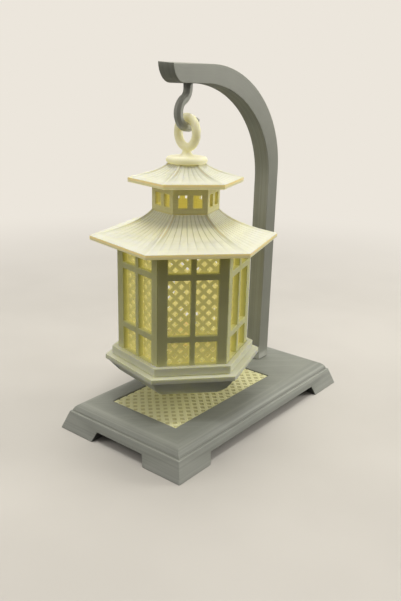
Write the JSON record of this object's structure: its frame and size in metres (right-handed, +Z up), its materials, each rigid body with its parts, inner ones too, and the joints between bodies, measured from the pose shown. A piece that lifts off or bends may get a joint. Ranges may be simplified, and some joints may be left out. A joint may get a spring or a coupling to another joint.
{
  "type": "hanging hexagonal tealight lantern",
  "caption": "Hexagonal lattice lantern with two hollow-curved roofs, hung by a ring from a hook on an arched stand with a footed base.",
  "frame": {"origin": "middle of the base, at the height of the feet", "axes": "+Z up, +X along the base towards the post, +Y across the base"},
  "size_m": [0.1524, 0.0958, 0.1896],
  "materials": {
    "grey_print": "printed in layers, satin, lines along the bar and round the base's skirt",
    "ivory_print": "printed in layers, satin, lets a little light through",
    "white_plastic": "moulded, soft gloss",
    "amber_lens": "translucent, soft gloss",
    "black_plastic": "moulded, fine matte",
    "nickel": "plated"
  },
  "bodies": {
    "stand": {"base": "grey_print", "mat": "ivory_print", "arm": "grey_print", "hook": "grey_print"},
    "finial": {"finial": "ivory_print"},
    "lantern": {"upper_roof": "ivory_print", "clerestory": "ivory_print", "main_roof": "ivory_print", "wall_frame_1": "ivory_print", "wall_frame_2": "ivory_print", "wall_frame_3": "ivory_print", "wall_frame_4": "ivory_print", "wall_frame_5": "ivory_print", "wall_frame_6": "ivory_print", "lattice_screen_1": "ivory_print", "lattice_screen_2": "ivory_print", "lattice_screen_3": "ivory_print", "lattice_screen_4": "ivory_print", "lattice_screen_5": "ivory_print", "lattice_screen_6": "ivory_print", "plinth": "ivory_print"},
    "tray": {"tray": "ivory_print"},
    "tealight": {"light_housing": "white_plastic", "flame_lens": "amber_lens", "led": "amber_lens", "light_base_plate": "white_plastic", "coin_cell": "nickel", "top_contact": "nickel", "side_contact": "nickel"},
    "battery_door": {"battery_door": "white_plastic"},
    "switch": {"switch_slider": "black_plastic"}
  },
  "joints": [
    {"name": "lantern_swing", "type": "hinge", "parent": "stand", "child": "finial", "pos_m": [-0.0241, 0, 0.1596], "axis": [1, 0, 0], "range_deg": [-35, 35]},
    {"name": "lantern_turn", "type": "hinge", "parent": "finial", "child": "lantern", "pos_m": [-0.0241, 0, 0.14], "axis": [0, 0, 1], "continuous": true},
    {"name": "tray_drop", "type": "slide", "parent": "lantern", "child": "tray", "axis": [0, 0, -1], "range_m": [0, 0.008]},
    {"name": "tealight_lift", "type": "slide", "parent": "tray", "child": "tealight", "axis": [0, 0, 1], "range_m": [0, 0.015]},
    {"name": "door_twist", "type": "hinge", "parent": "tealight", "child": "battery_door", "pos_m": [-0.0285, 0, 0.031], "axis": [0, 0, 1], "range_deg": [0, 30]},
    {"name": "switch_slide", "type": "slide", "parent": "tealight", "child": "switch", "axis": [0, 1, 0], "range_m": [0, 0.002]}
  ]
}
